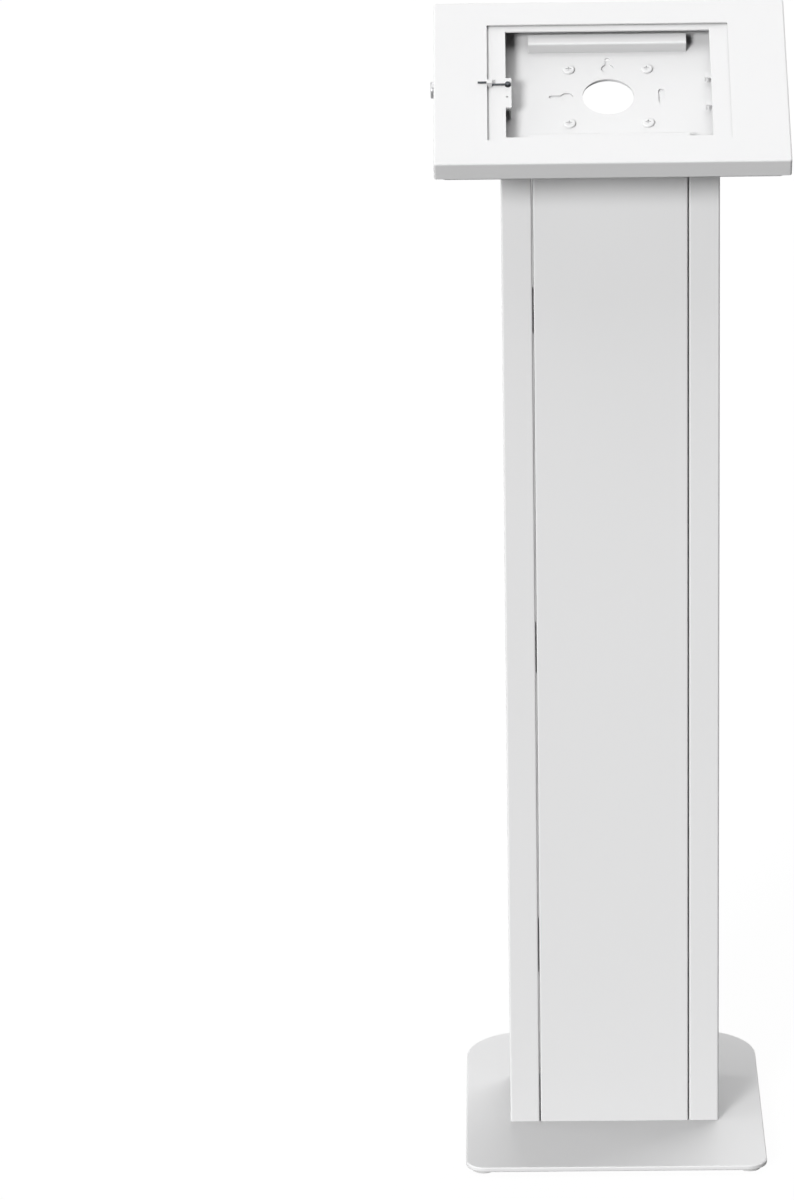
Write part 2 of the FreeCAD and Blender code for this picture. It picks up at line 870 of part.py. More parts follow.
def make_tray():
    body = rounded_shell(
        tray_half_width, tray_half_length, tray_back, -tray_rim_drop, sheet, tray_corner, tray_fold, True
    )
    low = tray_back - overshoot
    high = tray_floor + overshoot
    cuts = [bar(cable_hole, vec(pattern_shift, screw_shift, low), vec(pattern_shift, screw_shift, high))]
    for u, v in mounting_places():
        cuts.append(bar(screw_diameter + 2 * hole_gap, vec(u, v, low), vec(u, v, high)))
    for u, v in rail_rivet_places() + support_rivet_places() + strike_rivet_places():
        cuts.append(bar(rivet_diameter, vec(u, v, low), vec(u, v, high)))
    bulb_v = screw_shift + top_keyhole_rise
    slot_end = (pattern_shift, bulb_v + top_keyhole_slot - keyhole_slot / 2)
    cuts.append(bar(keyhole_bulb, vec(pattern_shift, bulb_v, low), vec(pattern_shift, bulb_v, high)))
    cuts.append(slot(keyhole_slot, (pattern_shift, bulb_v), slot_end, low, high))
    bulb_u = pattern_shift - side_keyhole_reach
    slot_end = (bulb_u - side_keyhole_slot + keyhole_slot / 2, screw_shift)
    cuts.append(bar(keyhole_bulb, vec(bulb_u, screw_shift, low), vec(bulb_u, screw_shift, high)))
    cuts.append(slot(keyhole_slot, (bulb_u, screw_shift), slot_end, low, high))
    slot_u = pattern_shift + side_slot_reach
    half = (side_slot_length - side_slot_width) / 2
    ends = ((slot_u, screw_shift - half), (slot_u, screw_shift + half))
    cuts.append(slot(side_slot_width, *ends, low, high))
    lock_start = vec(-half_width, 0, -lock_depth)
    lock_end = vec(2 * sheet - tray_half_width, 0, -lock_depth)
    cuts.append(bar(lock_slot, lock_start, lock_end))
    cuts.append(box(lock_start - vec(0, lock_slot / 2, 0), lock_end + vec(0, lock_slot / 2, lock_depth)))
    body = body.cut(cuts)
    notches = []
    barrels = []
    bores = []
    for centre in hinge_centres():
        cover_spans, tray_spans = hinge_spans(centre)
        for first, last in cover_spans:
            top = hinge_w + hinge_barrel / 2 + hinge_play
            side = hinge_u - hinge_barrel / 2 - hinge_play
            notches.append(box(vec(side, first - hinge_play, low), vec(half_width, last + hinge_play, top)))
        barrels += [hinge_bar(hinge_barrel, span) for span in tray_spans]
        whole = (tray_spans[0][0], tray_spans[1][1])
        bores.append(hinge_bar(hinge_pin + 2 * hinge_gap, whole))
    return fused(body.cut(notches), *barrels).cut(bores)


def make_rail(centre, notched):
    """A channel standing on the back plate with two tabs folded in under it."""
    half_u = rail_length / 2
    half_v = rail_width / 2
    path = [(-half_v, tray_floor), (-half_v, bay_floor), (half_v, bay_floor), (half_v, tray_floor)]
    section = folded(path[::-1], sheet, channel_bend, -half_u, half_u)
    body = shifted(sideways(section), pattern_shift, centre)
    tabs = []
    for u, v in rail_rivet_places():
        if abs(v - centre) < 1e-6:
            low = vec(u - rail_tab_length / 2, v - half_v + sheet / 2, tray_floor)
            high = vec(u + rail_tab_length / 2, v + half_v - 2 * sheet, tray_floor + sheet)
            hole = bar(rivet_diameter, vec(u, v, tray_floor), vec(u, v, tray_floor + sheet))
            tabs.append(box(low, high).cut(hole))
    body = fused(body, *tabs)
    if notched:
        half = rail_notch_width / 2
        edge = centre + half_v
        low = vec(pattern_shift - half, edge - rail_notch_depth, bay_floor - 2 * sheet)
        high = vec(pattern_shift + half, edge + overshoot, bay_floor + overshoot)
        body = body.cut(box(low, high))
    return body


def make_left_support():
    """A short channel across the slope with open ends, and a foot that is riveted down."""
    low_v = support_centre - support_length / 2
    high_v = support_centre + support_length / 2
    foot_edge = left_support_inner - support_foot + sheet
    path = [
        (left_support_edge, tray_floor),
        (left_support_edge, bay_floor),
        (left_support_inner, bay_floor),
        (left_support_inner, tray_floor),
    ]
    section = folded(path, sheet, channel_bend, 0, support_length)
    turn = FreeCAD.Rotation(vec(1, 0, 0), vec(0, 0, 1), vec(0, -1, 0), "XYZ")
    body = moved(section, FreeCAD.Placement(vec(0, high_v, 0), turn))
    foot_top = tray_floor + sheet
    foot = box(vec(foot_edge, low_v, tray_floor), vec(left_support_inner + sheet, high_v, foot_top))
    places = support_rivet_places()[:2]
    cuts = [bar(rivet_diameter, vec(u, v, tray_floor), vec(u, v, foot_top)) for u, v in places]
    return fused(body, foot).cut(cuts)


def make_right_support():
    """A riveted foot, an upright and two tabs towards the cable hole, with their tips folded down."""
    wall_u = right_support_edge + right_tab_reach
    half = (right_tab_pitch + right_tab_width) / 2
    low_v = right_support_centre - half
    high_v = right_support_centre + half
    foot_top = tray_floor + sheet
    foot = box(vec(wall_u, low_v, tray_floor), vec(wall_u + support_foot + sheet, high_v, foot_top))
    wall = box(vec(wall_u, low_v, tray_floor), vec(wall_u + sheet, high_v, bay_floor))
    tabs = []
    for side in (-1, 1):
        v = right_support_centre + side * right_tab_pitch / 2
        start = v - right_tab_width / 2
        end = v + right_tab_width / 2
        tip_low = vec(right_support_edge, start, bay_floor - right_tab_fold)
        tabs.append(box(vec(right_support_edge, start, bay_floor - sheet), vec(wall_u + sheet, end, bay_floor)))
        tabs.append(box(tip_low, vec(right_support_edge + sheet, end, bay_floor)))
    places = support_rivet_places()[2:]
    cuts = [bar(rivet_diameter, vec(u, v, tray_floor), vec(u, v, foot_top)) for u, v in places]
    return fused(foot, wall, *tabs).cut(cuts)


def make_lock_strike():
    """An angle that stands beside the cam, with a lip that the turned cam catches under."""
    half = strike_width / 2
    low_u = cam_middle - half
    high_u = cam_middle + half
    lip_top = strike_low + strike_thick
    foot_top = tray_floor + strike_thick
    corner = vec(low_u, strike_reach - strike_thick, tray_floor)
    lip = box(vec(low_u, strike_start, strike_low), vec(high_u, strike_reach, lip_top))
    wall = box(corner, vec(high_u, strike_reach, lip_top))
    foot = box(corner, vec(high_u, strike_reach + strike_foot, foot_top))
    places = strike_rivet_places()
    holes = [bar(rivet_diameter, vec(u, v, tray_floor), vec(u, v, foot_top)) for u, v in places]
    return fused(lip, wall, foot).cut(holes)


def rivet(u, v, gripped):
    """A rivet through the back plate and a sheet on it, with a head at each side."""
    top = tray_floor + gripped
    shank = bar(rivet_diameter, vec(u, v, tray_back), vec(u, v, top))
    low = tray_back - rivet_head_high
    rear = bar(rivet_head, vec(u, v, low), vec(u, v, tray_back))
    rear = rear.makeFillet(rivet_head_round, level_edges(rear, low))
    front = bar(rivet_tail, vec(u, v, top), vec(u, v, top + rivet_head_high))
    return fused(shank, rear, front)


def rivets(places, gripped):
    return group(rivet(u, v, gripped) for u, v in places)


def make_mounting_screws():
    screws = []
    tip = tray_back - bracket_thick - screw_diameter * nut_per_thread - tip_length
    top = tray_floor + screw_head_high
    for u, v in mounting_places():
        head = bar(screw_head, vec(u, v, tray_floor), vec(u, v, top))
        head = head.makeFillet(screw_head_round, level_edges(head, top))
        head = cross_recess(head, vec(u, v, top), screw_head)
        screws.append(fused(head, bar(screw_diameter, vec(u, v, tip), vec(u, v, tray_floor))))
    return group(screws)


def make_mounting_nuts():
    seat = tray_back - bracket_thick
    return group(nut(screw_diameter, vec(u, v, seat), (0, 0, -1)) for u, v in mounting_places())


casing = {}
casing["casing_tray"] = make_tray()
casing["upper_rail"] = make_rail(rail_centres["upper"], False)
casing["lower_rail"] = make_rail(rail_centres["lower"], True)
casing["rail_rivets"] = rivets(rail_rivet_places(), sheet)
casing["left_support"] = make_left_support()
casing["right_support"] = make_right_support()
casing["support_rivets"] = rivets(support_rivet_places(), sheet)
casing["lock_strike"] = make_lock_strike()
casing["strike_rivet"] = rivets(strike_rivet_places(), strike_thick)
casing["mounting_screws"] = make_mounting_screws()
casing["mounting_nuts"] = make_mounting_nuts()

# Cover and what moves with it, in the casing's own axes


def stud_places():
    reach_u = insert_half_width - stud_from_edge
    reach_v = insert_half_length - stud_from_edge
    sides = grid(2 * reach_u, side_stud_pitch, pattern_shift, 0)
    ends = grid(end_stud_pitch, 2 * reach_v, pattern_shift, 0)
    return sides + ends


def make_cover():
    body = rounded_shell(half_width, half_length, -cover_flange, 0, sheet, cover_corner, cover_fold, False)
    window_low = -sheet - overshoot
    window = plate(
        window_width / 2, window_length / 2, opening_corner, window_low, overshoot, pattern_shift, 0
    )
    lock_start = vec(-half_width, 0, -lock_depth)
    lock_hole = bar(lock_body + 2 * hole_gap, lock_start, lock_start + vec(sheet, 0, 0))
    body = body.cut([window, lock_hole])
    tip = insert_back - stud_reach
    studs = [bar(stud_diameter, vec(u, v, -sheet), vec(u, v, tip)) for u, v in stud_places()]
    barrels = []
    bores = []
    for centre in hinge_centres():
        for first, last in hinge_spans(centre)[0]:
            barrels.append(hinge_bar(hinge_barrel, (first, last)))
            web_low = vec(half_width - sheet, first, hinge_w)
            barrels.append(box(web_low, vec(half_width, last, -cover_flange + sheet)))
            bores.append(hinge_bar(hinge_pin + 2 * hinge_gap, (first, last)))
    return fused(body, *studs, *barrels).cut(bores)


def frame_plate(half_u, half_v, hole_u, hole_v, low, high):
    """A flat frame round a rectangular opening."""
    hole = plate(hole_u, hole_v, opening_corner, low, high, pattern_shift, 0)
    return plate(half_u, half_v, opening_corner, low, high, pattern_shift, 0).cut(hole)


bezel_left = pattern_shift - bezel_width / 2
clip_end = bezel_left + clip_screw_inset


def make_bezel_insert():
    body = frame_plate(
        insert_half_width, insert_half_length, bezel_width / 2, bezel_length / 2, insert_back, insert_face
    )
    tab = plate(tab_reach, tab_length / 2, tab_corner, insert_back, insert_face, bezel_left, tab_centre)
    body = fused(body, tab)
    holes = [(u, v, stud_diameter + 2 * hole_gap) for u, v in stud_places()]
    holes.append((clip_end, clip_drop, clip_wire + 2 * thread_gap))
    holes.append((bezel_left + tab_hole_inset, tab_centre - tab_hole_drop, tab_hole))
    return body.cut([bar(wide, vec(u, v, insert_back), vec(u, v, insert_face)) for u, v, wide in holes])


def make_bezel_gasket():
    hole_u = window_width / 2 + gasket_setback
    hole_v = window_length / 2 + gasket_setback
    return frame_plate(hole_u + gasket_width, hole_v + gasket_width, hole_u, hole_v, insert_face, -sheet)


def make_bezel_nuts():
    return group(nut(stud_diameter, vec(u, v, insert_back), (0, 0, -1)) for u, v in stud_places())


def clip_route():
    """The wire's centre line: on the cover, down the window's edge and along the insert."""
    upper = clip_wire / 2
    lower = insert_face + clip_wire / 2 + clip_lift
    bend = window_left + clip_step
    return [
        vec(window_left - clip_tip, clip_drop, upper),
        vec(bend, clip_drop, upper),
        vec(bend + (upper - lower), clip_drop, lower),
        vec(clip_end - clip_eye / 2 + clip_eye_overlap, clip_drop, lower),
    ]


def make_bezel_clip():
    under = vec(clip_end, clip_drop, insert_face)
    over = under + vec(0, 0, clip_eye_thick)
    eye = bar(clip_eye, under, over).cut(bar(clip_wire + 2 * thread_gap, under, over))
    return fused(bent_wire(clip_wire, clip_route(), clip_bend), eye)


def make_clip_screw():
    seat = vec(clip_end, clip_drop, insert_face + clip_eye_thick)
    top = seat + vec(0, 0, clip_screw_head_high)
    head = bar(clip_screw_head, seat, top)
    head = head.makeFillet(clip_screw_head_round, level_edges(head, top.z))
    head = cross_recess(head, top, clip_screw_head)
    tip = vec(clip_end, clip_drop, insert_back - clip_screw_tip)
    return fused(head, bar(clip_wire, tip, seat))


def make_clip_saddle():
    """A small white block that straddles the wire inside the window's edge."""
    low_u = window_left + thread_gap
    high_u = low_u + saddle_after
    low_v = clip_drop - saddle_width / 2
    high_v = clip_drop + saddle_width / 2
    top = clip_wire + saddle_cap
    block = box(vec(low_u, low_v, insert_face), vec(high_u, high_v, top))
    lid = box(vec(low_u - saddle_before, low_v, thread_gap), vec(low_u, high_v, top))
    route = clip_route()
    channel = bent_wire(clip_wire + 2 * thread_gap, route, clip_bend)
    groove = box(
        vec(low_u, clip_drop - clip_wire / 2, insert_face),
        vec(high_u, clip_drop + clip_wire / 2, route[-1].z),
    )
    return fused(block, lid).cut([channel, groove])


def make_stops():
    heights = (insert_back - stop_height, insert_back)
    half = stop_thick / 2
    stops = {}
    for name, side in (("left", -1), ("right", 1)):
        u = pattern_shift + side * (stop_outer_width - half)
        stops[name] = plate(half, stop_side_length / 2, stop_corner, *heights, u, 0)
    for name, side in (("bottom", -1), ("top", 1)):
        v = side * (stop_outer_length - half)
        stops[name] = plate(stop_end_length / 2, half, stop_corner, *heights, pattern_shift, v)
    return stops


# Lock: a barrel in the cover's left edge, a nut, and a plug and cam that make a quarter turn


def lock_point(u):
    return vec(u, 0, -lock_depth)


def make_lock_barrel():
    face = lock_point(-half_width - lock_head_high)
    seat = lock_point(-half_width)
    head = bar(lock_head, face, seat)
    rim = edges_where(head, lambda edge: edge.Closed and abs(edge.CenterOfMass.x - face.x) < 1e-6)
    head = head.makeFillet(lock_head_round, rim)
    body = bar(lock_body, seat, lock_point(lock_inner_end))
    bore = bar(plug_diameter + 2 * plug_gap, face, lock_point(lock_inner_end))
    return fused(head, body).cut(bore)


def make_lock_nut():
    start = lock_point(sheet - half_width)
    end = start + vec(lock_nut_thick, 0, 0)
    return hexagon(lock_nut_flats, start, end).cut(bar(lock_body + 2 * thread_gap, start, end))


def make_lock_plug():
    face = lock_point(plug_setback - half_width - lock_head_high)
    back = lock_point(cam_start)
    body = bar(plug_diameter, face, back)
    across = vec(0, key_slot_width / 2, key_slot_length / 2)
    key = box(face - across, face + vec(key_slot_depth, 0, 0) + across)
    corner = vec(0, cam_square / 2, cam_square / 2)
    tenon = box(back - corner, back + vec(cam_thick, 0, 0) + corner)
    return fused(body, tenon).cut(key)


def make_lock_cam():
    """A flat lever that hangs from the plug while the lock is open."""
    start = lock_point(cam_start)
    end = lock_point(cam_start + cam_thick)
    hub = bar(cam_hub, start, end)
    half = cam_width / 2
    arm = box(vec(start.x, -half, -lock_depth - cam_reach), vec(end.x, half, -lock_depth))
    tips = [edge for edge in level_edges(arm, -lock_depth - cam_reach) if edge.BoundBox.YLength < 1e-6]
    arm = arm.makeFillet(cam_width / 4, tips)
    square = cam_square / 2 + thread_gap
    hole = box(vec(start.x, -square, -lock_depth - square), vec(end.x, square, -lock_depth + square))
    return fused(hub, arm).cut(hole)


def make_cam_screw():
    start = lock_point(cam_start + cam_thick)
    end = start + vec(cam_screw_head_high, 0, 0)
    head = bar(cam_screw_head, start, end)
    rim = edges_where(head, lambda edge: edge.Closed and abs(edge.CenterOfMass.x - end.x) < 1e-6)
    return head.makeFillet(cam_screw_head_round, rim)


def make_hinge_pin(centre):
    spans = hinge_spans(centre)[1]
    return hinge_bar(hinge_pin, (spans[0][0], spans[1][1]))


casing["casing_cover"] = make_cover()
casing["bezel_insert"] = make_bezel_insert()
casing["bezel_gasket"] = make_bezel_gasket()
casing["bezel_nuts"] = make_bezel_nuts()
casing["bezel_clip"] = make_bezel_clip()
casing["bezel_clip_saddle"] = make_clip_saddle()
casing["bezel_clip_screw"] = make_clip_screw()
for name, shape in make_stops().items():
    casing["tablet_stop_" + name] = shape
casing["lock_barrel"] = make_lock_barrel()
casing["lock_nut"] = make_lock_nut()
casing["lock_plug"] = make_lock_plug()
casing["lock_cam"] = make_lock_cam()
casing["lock_cam_screw"] = make_cam_screw()
for name, centre in zip(("lower", "upper"), hinge_centres()):
    casing[name + "_hinge_pin"] = make_hinge_pin(centre)

for name, shape in casing.items():
    nodes[name] = on_slope(shape)

os.makedirs("parts", exist_ok=True)
for name, shape in nodes.items():
    shape.exportStep("parts/" + name + ".step")
    print(name, len(shape.Solids), shape.isValid(), round(shape.Volume / 1000, 2))
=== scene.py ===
import json
import math

import bpy
import numpy as np
from mathutils import Matrix, Vector


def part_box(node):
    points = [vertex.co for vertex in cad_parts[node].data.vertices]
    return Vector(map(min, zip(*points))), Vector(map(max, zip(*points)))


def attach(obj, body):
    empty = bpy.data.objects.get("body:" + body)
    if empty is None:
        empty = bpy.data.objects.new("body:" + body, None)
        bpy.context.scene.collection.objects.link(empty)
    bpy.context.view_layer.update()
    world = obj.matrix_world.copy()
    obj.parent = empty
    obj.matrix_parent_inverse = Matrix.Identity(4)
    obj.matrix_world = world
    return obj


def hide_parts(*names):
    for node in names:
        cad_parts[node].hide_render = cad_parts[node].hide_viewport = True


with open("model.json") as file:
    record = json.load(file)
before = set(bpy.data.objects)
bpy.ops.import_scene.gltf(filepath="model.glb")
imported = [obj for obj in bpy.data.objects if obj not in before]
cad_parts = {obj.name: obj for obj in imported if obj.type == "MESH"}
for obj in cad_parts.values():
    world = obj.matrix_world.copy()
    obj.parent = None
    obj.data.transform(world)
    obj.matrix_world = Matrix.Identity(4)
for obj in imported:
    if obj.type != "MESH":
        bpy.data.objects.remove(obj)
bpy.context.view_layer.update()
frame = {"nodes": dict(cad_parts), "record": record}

# Camera: a long lens more than five metres away, a little to the left of the stand and well
# above it, so that the casing's face looks foreshortened and the column narrows downwards.
camera_place = Vector((-0.0991, -5.4171, 2.33278))
camera_pitch = math.radians(18.164)
camera_yaw = math.radians(-1.214)
camera_roll = math.radians(-0.968)
camera_lens = 171.23
camera_sensor = 36.0
camera_reach = 50.0


def aim_camera():
    """The view direction from pitch and yaw, then the picture turned by the roll."""
    ahead = Vector((
        math.sin(camera_yaw) * math.cos(camera_pitch),
        math.cos(camera_yaw) * math.cos(camera_pitch),
        -math.sin(camera_pitch),
    ))
    level = Vector((math.cos(camera_yaw), -math.sin(camera_yaw), 0.0))
    upward = level.cross(ahead)
    right = math.cos(camera_roll) * level + math.sin(camera_roll) * upward
    up = math.cos(camera_roll) * upward - math.sin(camera_roll) * level
    data = bpy.data.cameras.new("photo_camera")
    data.lens = camera_lens
    data.sensor_width = camera_sensor
    data.sensor_fit = "AUTO"
    data.clip_end = camera_reach
    camera = bpy.data.objects.new("photo_camera", data)
    bpy.context.scene.collection.objects.link(camera)
    turn = Matrix((right, up, -ahead)).transposed().to_4x4()
    camera.matrix_world = Matrix.Translation(camera_place) @ turn
    bpy.context.scene.camera = camera


aim_camera()

# Lamps: a strong one in front and to the left, wide ones at the left, overhead and behind, whose
# shadows meet softly round the column's foot, and one for the right side, which the photo doesn't
# show. They light directly only, because the photo's white faces hardly brighten one another.
front_lamp = {"comes_from": (-0.406, -0.871, 0.276), "level": 0.78, "spread": 16.0}
left_lamp = {"comes_from": (-1.0, 0.0, 0.3), "level": 0.28, "spread": 60.0}
top_lamp = {"comes_from": (-0.1, -0.2, 1.0), "level": 0.31, "spread": 60.0}
rear_lamp = {"comes_from": (0.29, 0.684, 0.669), "level": 0.35, "spread": 50.0}
right_lamp = {"comes_from": (0.8, 0.6, 0.0), "level": 0.32, "spread": 16.0}
lamp_bounces = 0


def add_lamp(name, comes_from, level, spread):
    """A far soft lamp; a plain surface that faces it shows its own colour times the level."""
    data = bpy.data.lights.new(name, "SUN")
    data.energy = level * math.pi
    data.angle = math.radians(spread)
    data.cycles.max_bounces = lamp_bounces
    lamp = bpy.data.objects.new(name, data)
    bpy.context.scene.collection.objects.link(lamp)
    lamp.rotation_euler = Vector(comes_from).to_track_quat("Z", "Y").to_euler()


add_lamp("front_lamp", **front_lamp)
add_lamp("left_lamp", **left_lamp)
add_lamp("top_lamp", **top_lamp)
add_lamp("rear_lamp", **rear_lamp)
add_lamp("right_lamp", **right_lamp)

# Floor and backdrop: a white sheet under the feet and white all round, as in a picture whose
# background was cleared. Mirrored, both show a little dimmed, and by bounced light the stand sees
# a dark floor and room, so that its shaded sides stay grey.
floor_size = 14.0
floor_grey = 0.04
floor_glow = 0.97
floor_bounce = 0.06
floor_roughness = 0.6
floor_cloud_scale = 1.5
floor_cloud_detail = 2.0
floor_cloud_in_roughness = 0.1
room_glow = 1.0
room_bounce = 0.04
mirrored_glow = 0.75
no_bounce_yet = 0.5
noise_middle = 0.5
plain_white = (1.0, 1.0, 1.0, 1.0)
object_output = 3


class Value:
    """A shader socket that can be added, subtracted and multiplied like a number."""

    def __init__(self, tree, socket):
        self.tree = tree
        self.socket = socket

    def node(self, kind, settings=None, out=0, **inputs):
        """A new node of that kind with its settings and inputs; returns one of its outputs."""
        node = self.tree.nodes.new("ShaderNode" + kind)
        for key, value in (settings or {}).items():
            setattr(node, key, value)
        for key, value in inputs.items():
            slot = int(key[1:]) if key[1:].isdigit() else key.replace("_", " ")
            self.feed(node.inputs[slot], value)
        return Value(self.tree, node.outputs[out])

    def feed(self, slot, value):
        """Links another node's output to an input, or sets a plain value there."""
        if isinstance(value, Value):
            self.tree.links.new(value.socket, slot)
        else:
            slot.default_value = value

    def math(self, operation, first, second):
        """The result of a two-sided math node."""
        return self.node("Math", {"operation": operation}, i0=first, i1=second)

    def __add__(self, other):
        return self.math("ADD", self, other)

    def __radd__(self, other):
        return self.math("ADD", other, self)

    def __sub__(self, other):
        return self.math("SUBTRACT", self, other)

    def __rsub__(self, other):
        return self.math("SUBTRACT", other, self)

    def __mul__(self, other):
        return self.math("MULTIPLY", self, other)

    def __rmul__(self, other):
        return self.math("MULTIPLY", other, self)


def new_material(name):
    """An empty node material, and a Value that stands for its surface socket."""
    material = bpy.data.materials.new(name)
    material.use_nodes = True
    tree = material.node_tree
    tree.nodes.clear()
    output = tree.nodes.new("ShaderNodeOutputMaterial")
    return material, Value(tree, output.inputs["Surface"])


def ray_level(end, seen_level, bounced_level):
    """One strength for rays of the camera or glass, one for mirrored rays, one for others."""
    rays = end.node("LightPath").socket.node
    names = ("Is Camera Ray", "Is Glossy Ray", "Is Transmission Ray", "Diffuse Depth")
    seen, glossy, through, depth = [Value(end.tree, rays.outputs[name]) for name in names]
    mirrored = glossy * depth.math("LESS_THAN", depth, no_bounce_yet)
    white = seen.math("MAXIMUM", seen, through)
    bounced = (1.0 - white) * (1.0 - mirrored)
    return white * seen_level + mirrored * mirrored_glow + bounced * bounced_level


def make_floor():
    """A square sheet just under the feet, which glows for the camera and is dark for the stand."""
    half = floor_size / 2
    data = bpy.data.meshes.new("studio_floor")
    corners = [(-half, -half, 0), (half, -half, 0), (half, half, 0), (-half, half, 0)]
    data.from_pydata(corners, [], [(0, 1, 2, 3)])
    floor = bpy.data.objects.new("studio_floor", data)
    bpy.context.scene.collection.objects.link(floor)
    material, end = new_material("studio_floor_white")
    place = end.node("TexCoord", out=object_output)
    cloud = end.node("TexNoise", Vector=place, Scale=floor_cloud_scale, Detail=floor_cloud_detail)
    grey = (floor_grey, floor_grey, floor_grey, 1.0)
    rough = floor_roughness + (cloud - noise_middle) * floor_cloud_in_roughness
    matt = end.node("BsdfDiffuse", Color=grey, Roughness=rough)
    level = ray_level(end, floor_glow, floor_bounce)
    glow = end.node("Emission", Color=plain_white, Strength=level)
    end.feed(end.socket, end.node("AddShader", i0=matt, i1=glow))
    data.materials.append(material)


def make_room():
    """White behind the stand; the light that it gives to the stand is that of a dark room."""
    room = bpy.data.worlds.new("studio_room")
    bpy.context.scene.world = room
    room.use_nodes = True
    tree = room.node_tree
    tree.nodes.clear()
    end = Value(tree, tree.nodes.new("ShaderNodeOutputWorld").inputs["Surface"])
    level = ray_level(end, room_glow, room_bounce)
    end.feed(end.socket, end.node("Background", Color=plain_white, Strength=level))


make_floor()
make_room()
bpy.context.scene.view_settings.view_transform = "Standard"

# Base plate: one thick flat-cut steel plate with its edges broken, in the white powder coat that
# every cut or folded steel piece has, sprayed on and baked, with such paint's fine orange peel.
steel_white = (0.88, 0.88, 0.883)
powder_sheen = 0.2
cloud_scale = 9.0
cloud_detail = 3.0
grain_detail = 2.0
grain_persistence = 0.55
cloud_share = 0.5
cloud_in_roughness = 0.06
grain_in_roughness = 0.12
bump_strength = 0.5
mixed_colour_output = 2


def coat(name, colour, roughness, grain, depth, mottle, **fixed):
    """A finish whose tone and roughness follow clouds and a fine grain, which is also its bump."""
    material, end = new_material(name)
    place = end.node("TexCoord", out=object_output)
    cloud = end.node("TexNoise", Vector=place, Scale=cloud_scale, Detail=cloud_detail)
    fine = end.node("TexNoise", Vector=place, Scale=1.0 / grain, Detail=grain_detail,
                    Roughness=grain_persistence)
    dark = (*[channel * (1 - mottle) for channel in colour], 1.0)
    light = (*[min(channel * (1 + mottle), 1.0) for channel in colour], 1.0)
    tone = cloud * cloud_share + fine * (1 - cloud_share)
    mixed = mixed_colour_output
    shade = end.node("Mix", {"data_type": "RGBA"}, out=mixed, i0=tone, i6=dark, i7=light)
    rough = roughness + (fine - noise_middle) * grain_in_roughness
    rough = rough + (cloud - noise_middle) * cloud_in_roughness
    bump = end.node("Bump", Strength=bump_strength, Distance=depth, Height=fine)
    finish = end.node("BsdfPrincipled", Base_Color=shade, Roughness=rough, Normal=bump, **fixed)
    end.feed(end.socket, finish)
    return material


def dress(material, *names):
    """Gives CAD nodes their finish."""
    for name in names:
        node = frame["nodes"][name]
        node.data.materials.clear()
        node.data.materials.append(material)


powder_coat = coat(
    "white_powder_coat", steel_white, roughness=0.5, grain=0.0011, depth=0.00006, mottle=0.012,
    Specular_IOR_Level=powder_sheen)
dress(powder_coat, "base_plate")

# Feet: four turned pads of pale rubber under the plate's corners, with two fine grooves round
# the side, a ringed tread below and a sunk hole for the screw that holds each of them.
foot_round = 0.0012
foot_groove = 0.00035
foot_groove_wide = 0.0005
foot_groove_heights = (0.38, 0.62)
foot_side_rows = 40
foot_tread = 0.0003
foot_tread_pitch = 0.0015
foot_tread_rows = 60
foot_hole = 0.00275
foot_recess = 0.0055
foot_recess_depth = 0.0025
rubber_white = (0.80, 0.80, 0.79)
around = 96
sharp_from = math.radians(50)


def arc(centre, radius, first, last, count=7):
    """Points of an arc between two angles in degrees, as rows of two."""
    angle = np.radians(np.linspace(first, last, count))
    circle = np.stack([np.cos(angle), np.sin(angle)], axis=1)
    return np.array(centre) + radius * circle


def revolved(section):
    """Turns a closed section about the upright axis: (r, h) -> (r cos t, r sin t, h)."""
    turn = 2 * np.pi * np.arange(around) / around
    radius = section[:, :1]
    height = np.repeat(section[:, 1:], around, axis=1)
    return np.stack([radius * np.cos(turn), radius * np.sin(turn), height], axis=2)


def ring_faces(rows, columns, joined=True):
    """Quads over a grid whose rows are closed and, if joined, whose last row meets the first."""
    strips = rows if joined else rows - 1
    row, column = np.meshgrid(np.arange(strips), np.arange(columns), indexing="ij")
    here = row * columns
    below = (row + 1) % rows * columns
    beside = (column + 1) % columns
    corners = [here + column, here + beside, below + beside, below + column]
    return np.stack(corners, axis=2).reshape(-1, 4).tolist()


def add_piece(name, points, faces, material, body, slot, *stands_for):
    """A mesh in the stand's frame that rides on a body and takes the place of CAD nodes."""
    data = bpy.data.meshes.new(name)
    data.from_pydata(points.tolist(), [], faces)
    data.validate()
    data.polygons.foreach_set("use_smooth", [True] * len(data.polygons))
    data.set_sharp_from_angle(angle=sharp_from)
    data.materials.append(material)
    made = bpy.data.objects.new(name, data)
    bpy.context.scene.collection.objects.link(made)
    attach(made, body)
    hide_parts(*stands_for)


